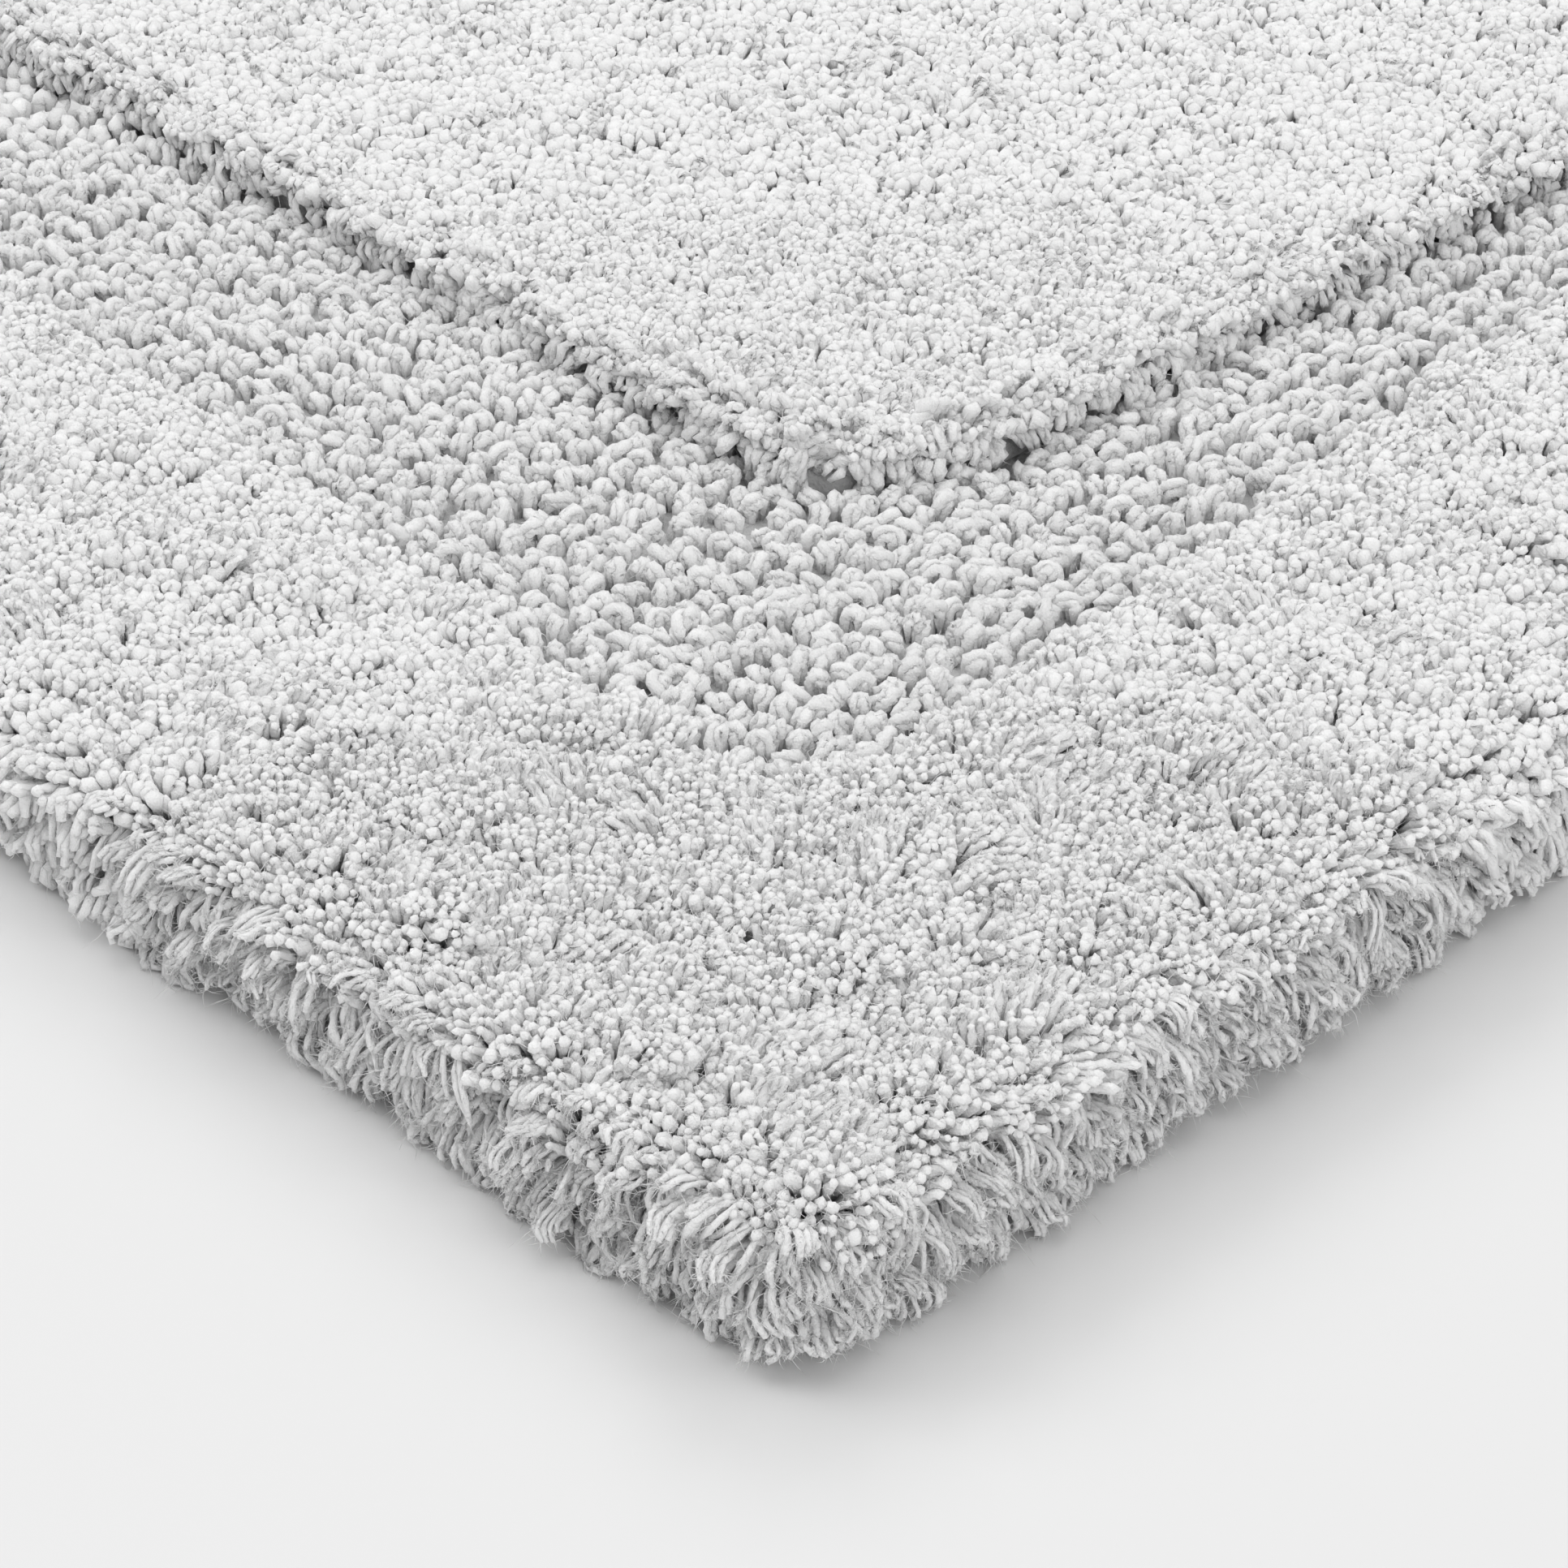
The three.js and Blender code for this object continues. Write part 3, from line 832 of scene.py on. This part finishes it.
def loops(near, salt):
    """Loops, each of several strands near the camera, and one ribbed strand further off."""
    x, y, side = loop_scatter(near)
    count = len(x)
    random = np.random.default_rng(SEED + salt)
    top = BAND_TOP + random.normal(0, 0.55, count) + 0.6 * waves(x, y, 25, 57)
    paths, beside = loop_paths(x, y, side, top, random, 8 if near else 6)
    turn0 = random.uniform(0, 2 * np.pi, count)
    size = random.uniform(0.88, 1.12, count)
    if not near:
        radii = ((LOOP_BUNDLE_RADIUS + LOOP_STRAND_RADIUS) * size)[:, None]
        radii = radii * random.uniform(0.94, 1.06, paths.shape[:2])
        return [(x, y, tubes(paths, radii, beside, 6, random, 0.5, 0.25))]
    along = unit(np.gradient(paths, axis=1))
    across = unit(np.cross(along, beside[:, None, :]))
    share = np.linspace(0, 1, paths.shape[1])[None, :]
    twist = LOOP_TWIST * random.choice([-1, 1], count)[:, None] * share
    lots = []
    for strand in range(LOOP_STRANDS):
        turn = turn0[:, None] + 2 * math.pi * strand / LOOP_STRANDS + twist
        spread = LOOP_BUNDLE_RADIUS * size * random.uniform(0.85, 1.2, count)
        offset = (np.cos(turn)[..., None] * beside[:, None] + np.sin(turn)[..., None] * across)
        strand_paths = paths + spread[:, None, None] * offset
        radii = LOOP_STRAND_RADIUS * size[:, None] * random.uniform(0.88, 1.12, paths.shape[:2])
        lots.append((x, y, tubes(strand_paths, radii, beside, 6, random, 0.7)))
    return lots


# ---- building the pile ----

MOST_FACES = 190_000    # triangles in one piece


def build_zone(name, lots, materials, slot, node):
    """Pieces for one zone, side by side, each with at most MOST_FACES triangles. lots is a list
    of (x, y, tubes) and node gives the CAD node that a side's pieces stand for."""
    sides = [nearest_side(x, y)[0] for x, y, _ in lots]
    for which, side_name in enumerate(SIDES):
        chosen = [((x, y)[which % 2], part, side == which)
                  for side, (x, y, part) in zip(sides, lots) if (side == which).any()]
        spots = np.concatenate([spot[on] for spot, _, on in chosen])
        weights = np.concatenate([np.full(int(on.sum()), part.faces_each())
                                  for _, part, on in chosen])
        pieces = math.ceil(weights.sum() / MOST_FACES)
        order = np.argsort(spots)
        shares = np.cumsum(weights[order]) / weights.sum()
        cuts = [spots[order][np.searchsorted(shares, k / pieces)] for k in range(1, pieces)]
        bounds = [-1e9, *cuts, 1e9]
        for number in range(pieces):
            here = [(part, on & (spot >= bounds[number]) & (spot < bounds[number + 1]))
                    for spot, part, on in chosen]
            parts = [part.take(on) for part, on in here if on.any()]
            piece = yarn_piece(f"{name}_{side_name}_{number + 1}", parts, materials, number)
            stands_for(piece, slot, node(side_name))


def with_hairs(lots, share, salt):
    """The lots of yarn, and loose fibres on them."""
    return lots + [hairs(*lot, share, salt + k) for k, lot in enumerate(lots) if share > 0]


def build_pile():
    border, centre, band = [], [], []
    outside, rim = outside_roll(), rim_roll()
    inner = -2 * RING_WANDER
    for number, ring in enumerate(DETAIL_RINGS):
        salt = 10 * number
        share = ring.hairs
        border += with_hairs([border_parts(ring, inner)], share, 200 + salt)
        hanging = rolled_tufts(outside, OUTSIDE_TUFTS, ring, inner, 110 + number)
        border += with_hairs([hanging], 5.5 * share, 201 + salt)
        centre += with_hairs([centre_parts(ring, inner)], share, 202 + salt)
        rolled = rolled_tufts(rim, RIM_TUFTS, ring, inner, 130 + number)
        centre += with_hairs([rolled], 3 * share, 203 + salt)
        inner = ring.reach
    border.append(stray_fibres(140))
    band += with_hairs(loops(True, 121), 1.2, 300)
    band += loops(False, 122)
    build_zone("border_yarn", border, CUT_YARN, "cut_pile", lambda side: f"border_pile_{side}")
    build_zone("centre_yarn", centre, CUT_YARN, "cut_pile", lambda side: "centre_pile")
    build_zone("loop_yarn", band, LOOP_YARN, "loop_pile", lambda side: f"loop_band_{side}")


# ---- the dense mass of yarn under the visible ends, in a darker tone that is painted shade ----

MASS_DEPTH = 3.6        # how far the mass lies under the tops of the yarn
OUTSIDE_DEPTH = 4.6     # how far in from the mat's outside it starts
RIM_DEPTH = 4.4         # and how far in from the centre's rim
MASS_SHOULDER = 11.0    # the height where its outside starts to round over
MASS_ROLL = 5.5         # and how far in that takes
MASS_SHARES = np.linspace(0, 1, 10)


def ridge(rim):
    """A line along the mat's middle, with a point for each point of a loop around it."""
    half = HALF_LENGTH - HALF_WIDTH
    return np.stack([np.clip(rim[:, 0], -half, half), np.zeros(len(rim))], 1)


def lofted(name, levels, closed, material, slot, nodes):
    """A solid whose skin runs through loops around the mat, back to the first if it is closed,
    or else with the first and the last loops filled in."""
    count = len(levels[0])
    a = np.arange(count)
    b = (a + 1) % count
    pairs = len(levels) if closed else len(levels) - 1
    quads = []
    for k in range(pairs):
        low, high = k * count, ((k + 1) % len(levels)) * count
        quads.append(np.stack([a + low, b + low, b + high, a + high], 1))
    points = np.concatenate(levels)
    triangles = np.zeros((0, 3), int)
    if not closed:
        last = (len(levels) - 1) * count
        middle = len(points)
        points = np.concatenate([points, levels[-1].mean(0)[None], levels[0].mean(0)[None]])
        triangles = np.concatenate([
            np.stack([a + last, b + last, np.full(count, middle)], 1),
            np.stack([b, a, np.full(count, middle + 1)], 1),
        ])
    piece = make_mesh(name, points, np.concatenate(quads), triangles, None, [material])
    return stands_for(piece, slot, *nodes)


def at_height(plan, height, bumps=0.0):
    """A plan's points at a height, with small bumps."""
    return lifted(plan, height + bumps * waves(plan[:, 0], plan[:, 1], 3.5, 61))


def border_mass():
    """A ring that is upright outside, rounds over like the roll, and reaches the loop band."""
    turns = np.radians([20, 45, 70])
    rises = [(0, 0.4), (0, 4.0), (0, 8.0), (0, MASS_SHOULDER)]
    rises += [(MASS_ROLL * (1 - math.cos(turn)),
               MASS_SHOULDER + (BORDER_TOP - MASS_DEPTH - MASS_SHOULDER) * math.sin(turn))
              for turn in turns]
    levels = [at_height(edge_loop(OUTSIDE_EDGE, OUTSIDE_DEPTH + inset), up) for inset, up in rises]
    roll = edge_loop(OUTSIDE_EDGE, OUTSIDE_DEPTH + MASS_ROLL)
    inner = edge_loop(BORDER_EDGE, -1.8)
    levels += [at_height((1 - t) * roll + t * inner, BORDER_TOP - MASS_DEPTH - 1.2 * t ** 4, 0.6)
               for t in MASS_SHARES]
    under = edge_loop(OUTSIDE_EDGE, CLOTH_INSET - 0.4)
    levels += [at_height(inner, PILE_BOTTOM), at_height(under, PILE_BOTTOM),
               at_height(under, 0.4)]
    lofted("border_yarn_mass", levels, True, MASS_YARN_PAINTED_SHADE, "cut_pile",
           [f"border_pile_{side}" for side in SIDES])


def band_mass():
    outer, inner = edge_loop(BORDER_EDGE), edge_loop(CENTRE_EDGE, RIM_DEPTH)
    top = BAND_TOP - MASS_DEPTH - 0.6
    levels = [at_height((1 - t) * outer + t * inner, top, 0.5) for t in MASS_SHARES]
    levels = [at_height(outer, PILE_BOTTOM), *levels, at_height(inner, PILE_BOTTOM)]
    lofted("band_yarn_mass", levels, True, MASS_YARN_PAINTED_SHADE, "loop_pile",
           [f"loop_band_{side}" for side in SIDES])


def centre_mass():
    rim, shoulder = edge_loop(CENTRE_EDGE, RIM_DEPTH), edge_loop(CENTRE_EDGE, RIM_DEPTH + 3.0)
    top = CENTRE_TOP - MASS_DEPTH
    levels = [at_height(rim, PILE_BOTTOM), at_height(rim, top - 3.0),
              at_height(shoulder, top - 0.6)]
    levels += [at_height((1 - t) * shoulder + t * ridge(rim), top, 0.6)
               for t in np.linspace(0.02, 0.98, 30)]
    lofted("centre_yarn_mass", levels, False, MASS_YARN_PAINTED_SHADE, "cut_pile", ["centre_pile"])


# ---- underneath ----

CLOTH_INSET = 8.0
TAPE_WIDTH = 14.0
STITCH_INSET = 19.5     # how far in from the mat's outside the stitching runs
UNDER_GAP = 0.4         # between the tape and the latex coat
CLOTH_LOW, CLOTH_HIGH = (corner.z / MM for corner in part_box("base_cloth"))
COAT_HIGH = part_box("latex_coat")[1].z / MM
COAT_BUMPS = 0.12
GROOVE_HALF = 0.8       # the groove in the tape that the thread pulls into
GROOVE_TOP = 0.72
STITCH_PITCH = 4.0
STITCH_LENGTH = 3.0
THREAD_RADIUS = 0.24
THREAD_HEIGHT = 0.36


def bands(nodes, links, place, direction, period):
    """A pattern of smooth bands, whose period is in millimetres."""
    wave = nodes.new("ShaderNodeTexWave")
    wave.bands_direction = direction
    set_inputs(wave, Scale=0.314 / (period * MM), Distortion=0.6)
    links.new(place, wave.inputs["Vector"])
    return wave.outputs["Fac"]


def plain_weave(nodes, links, place):
    """Threads that cross over and under each other."""
    cross = nodes.new("ShaderNodeMath")
    cross.operation = "MAXIMUM"
    for slot, direction in enumerate(("X", "Y")):
        links.new(bands(nodes, links, place, direction, 1.1), cross.inputs[slot])
    return cross.outputs["Value"]


def twill(nodes, links, place):
    return bands(nodes, links, place, "DIAGONAL", 0.9)


def pebbles(nodes, links, place):
    """The skin of a poured coat that has dried over knots of yarn."""
    knots = nodes.new("ShaderNodeTexVoronoi")
    knots.feature = "SMOOTH_F1"
    set_inputs(knots, Scale=1 / (2.6 * MM))
    links.new(place, knots.inputs["Vector"])
    return knots.outputs["Distance"]


def patterned(name, tone, painted_shade, roughness, pattern, relief):
    """A material whose surface rises with a pattern, and whose colour goes from a darker painted
    shade in the pattern's hollows to tone where it is high. relief is in millimetres."""
    material, shader = new_material(name, tone, roughness)
    nodes, links = material.node_tree.nodes, material.node_tree.links
    set_inputs(shader, Specular_IOR_Level=0.2)
    place = nodes.new("ShaderNodeTexCoord").outputs["Object"]
    height = pattern(nodes, links, place)
    ramp = nodes.new("ShaderNodeValToRGB")
    ramp.color_ramp.elements[0].color = (*painted_shade, 1)
    ramp.color_ramp.elements[1].color = (*tone, 1)
    bump = nodes.new("ShaderNodeBump")
    set_inputs(bump, Distance=relief * MM)
    links.new(height, ramp.inputs["Fac"])
    links.new(height, bump.inputs["Height"])
    links.new(ramp.outputs["Color"], shader.inputs["Base Color"])
    links.new(bump.outputs["Normal"], shader.inputs["Normal"])
    return material


# The second colour of each is painted shade for its pattern's hollows.
BASE_CLOTH = patterned("base_cloth_canvas", (0.74, 0.72, 0.68), (0.6, 0.58, 0.54), 0.95,
                       plain_weave, 0.2)
HEM_TAPE = patterned("hem_tape_twill", (0.78, 0.77, 0.75), (0.64, 0.63, 0.61), 0.9, twill, 0.15)
LATEX = patterned("latex_skin", (0.8, 0.76, 0.67), (0.7, 0.66, 0.57), 0.55, pebbles, 0.35)
THREAD = cotton("hem_thread", 0.85, 0.2, 0.25, 0.00008)


def slab(name, inset, low, high, bumps, material, slot, node):
    """A thin flat solid inside the mat's outline, with small bumps on its underside."""
    rim = edge_loop(OUTSIDE_EDGE, inset)
    shares = np.linspace(0, 0.99, 36)
    levels = []
    for t in shares[::-1]:
        plan = (1 - t) * rim + t * ridge(rim)
        raised = bumps * (0.5 + 0.5 * waves(plan[:, 0], plan[:, 1], 9, 81))
        levels.append(at_height(plan, low + raised))
    levels += [at_height((1 - t) * rim + t * ridge(rim), high) for t in shares[::3]]
    return lofted(name, levels, False, material, slot, [node])


def tape_profile():
    """The tape's cross-section, as distances in from the mat's outside and heights."""
    outer, inner = CLOTH_INSET, CLOTH_INSET + TAPE_WIDTH
    first, last = STITCH_INSET - GROOVE_HALF, STITCH_INSET + GROOVE_HALF
    underside = [(inner - 0.05, 0.15), (inner - 0.25, 0.03), (last + 0.3, 0.03), (last, 0.2),
                 (last - 0.3, GROOVE_TOP), (first + 0.3, GROOVE_TOP), (first, 0.2),
                 (first - 0.3, 0.03)]
    flat = [(first - 0.3 - (first - outer - 0.6) * share, 0.03) for share in (0.25, 0.5, 0.75, 1)]
    return np.array([*underside, *flat, (outer + 0.05, 0.15), (outer + 0.05, COAT_HIGH - 0.1),
                     (outer + 0.25, COAT_HIGH), (inner - 0.25, COAT_HIGH),
                     (inner - 0.05, COAT_HIGH - 0.1)])


def hem_tape(side):
    """A strip of tape along one side, with mitred ends."""
    length, depth = side_size(side)
    inset, height = tape_profile().T
    stations = round(length / 4)
    share = np.linspace(0, 1, stations)[:, None]
    first = inset[None] + 0.3
    along = first + share * (length - 2 * first)
    ripple = 0.12 * waves(along, np.full_like(along, side), 14, 82)
    local = np.stack([along - length / 2, inset[None] + ripple - depth], -1)
    levels = list(lifted(turned(local, side), height))
    name = SIDES[side]
    return lofted(f"tape_{name}", levels, False, HEM_TAPE, "hem_tape", [f"hem_tape_{name}"])


def hem_stitches(side):
    """A row of stitches along one side. Each lies along the groove and dives in at both ends."""
    length, depth = side_size(side)
    random = np.random.default_rng(SEED + 90 + side)
    count = int((length - 2 * STITCH_INSET) / STITCH_PITCH)
    middle = STITCH_PITCH * (np.arange(count) - (count - 1) / 2)
    along = STITCH_LENGTH * np.array([-0.5, -0.42, -0.25, 0, 0.25, 0.42, 0.49, 0.5])
    dive = np.array([0.36, 0.12, 0, 0, 0, 0.12, 0.34, 0.36])
    local_x = middle[:, None] + along[None]
    local_y = STITCH_INSET - depth + random.normal(0, 0.05, (count, 1)) + 0 * local_x
    plan = turned(np.stack([local_x, local_y], -1), side)
    paths = lifted(plan, THREAD_HEIGHT + dive)
    radii = np.full(paths.shape[:2], THREAD_RADIUS)
    reference = np.tile([0.0, 0.0, 1.0], (count, 1))
    made = tubes(paths, radii, reference, 6, random, 0.5, 0.2, 0.03)
    name = SIDES[side]
    piece = yarn_piece(f"stitches_{name}", [made], [THREAD], 91)
    return stands_for(piece, "thread", f"hem_stitching_{name}")


def build_underside():
    canvas = slab("canvas", CLOTH_INSET, CLOTH_LOW, CLOTH_HIGH, 0.0, BASE_CLOTH, "base_cloth",
                  "base_cloth")
    coat = slab("coat", CLOTH_INSET + TAPE_WIDTH + UNDER_GAP, 0.0, COAT_HIGH, COAT_BUMPS, LATEX,
                "latex", "latex_coat")
    tapes = [hem_tape(side) for side in range(4)]
    rows = [hem_stitches(side) for side in range(4)]


# ---- camera, light and floor ----

CAMERA_FROM_CORNER = np.array([219.1, -220.8, 284.3])
CAMERA_TILT = math.radians(33.79)
CAMERA_LENS = 93.2      # millimetres on a 36 mm sensor
FLOOR_HALF = 20.0       # metres
FLOOR_TONE = 0.78
WORLD_STRENGTH = 0.43
# Square lamps: where each one is, in metres, its size and its power.
LAMPS = {
    "overhead": ((0.3, -0.25, 4.0), 3.6, 52),
    "back_left": ((-2.1, 1.95, 3.2), 2.4, 48),
    "left": ((-2.5, -1.85, 2.6), 2.0, 40),
    "right": ((3.7, -1.05, 1.8), 2.4, 46),
}
LAMP_AIM = Vector((0.3, -0.15, 0.0))


def make_camera():
    data = bpy.data.cameras.new("camera")
    data.lens, data.sensor_width = CAMERA_LENS, 36
    data.clip_start, data.clip_end = 0.01, 20
    camera = bpy.data.objects.new("camera", data)
    camera.location = [float(v) * MM for v in CAMERA_FROM_CORNER + np.array([*NEAR_CORNER, 0])]
    camera.rotation_euler = (math.pi / 2 - CAMERA_TILT, 0, math.pi / 4)
    bpy.context.scene.collection.objects.link(camera)
    bpy.context.scene.camera = camera


def make_floor():
    half = FLOOR_HALF / MM
    points = np.array([[-half, -half, 0], [half, -half, 0], [half, half, 0], [-half, half, 0]])
    material, shader = new_material("floor", FLOOR_TONE, 0.7)
    set_inputs(shader, Specular_IOR_Level=0.2)
    no_triangles = np.zeros((0, 3), int)
    make_mesh("floor", points, np.array([[0, 1, 2, 3]]), no_triangles, None, [material])


def make_lights():
    world = bpy.data.worlds.new("studio")
    world.use_nodes = True
    set_inputs(world.node_tree.nodes["Background"], Color=(1, 1, 1, 1), Strength=WORLD_STRENGTH)
    bpy.context.scene.world = world
    for name, (place, size, power) in LAMPS.items():
        data = bpy.data.lights.new(name, "AREA")
        data.shape, data.size, data.energy = "SQUARE", size, power
        light = bpy.data.objects.new(name, data)
        light.location = place
        light.rotation_euler = (LAMP_AIM - light.location).to_track_quat("-Z", "Y").to_euler()
        bpy.context.scene.collection.objects.link(light)
    bpy.context.scene.view_settings.view_transform = "Standard"


make_camera()
make_floor()
make_lights()
build_pile()
border_mass()
band_mass()
centre_mass()
build_underside()
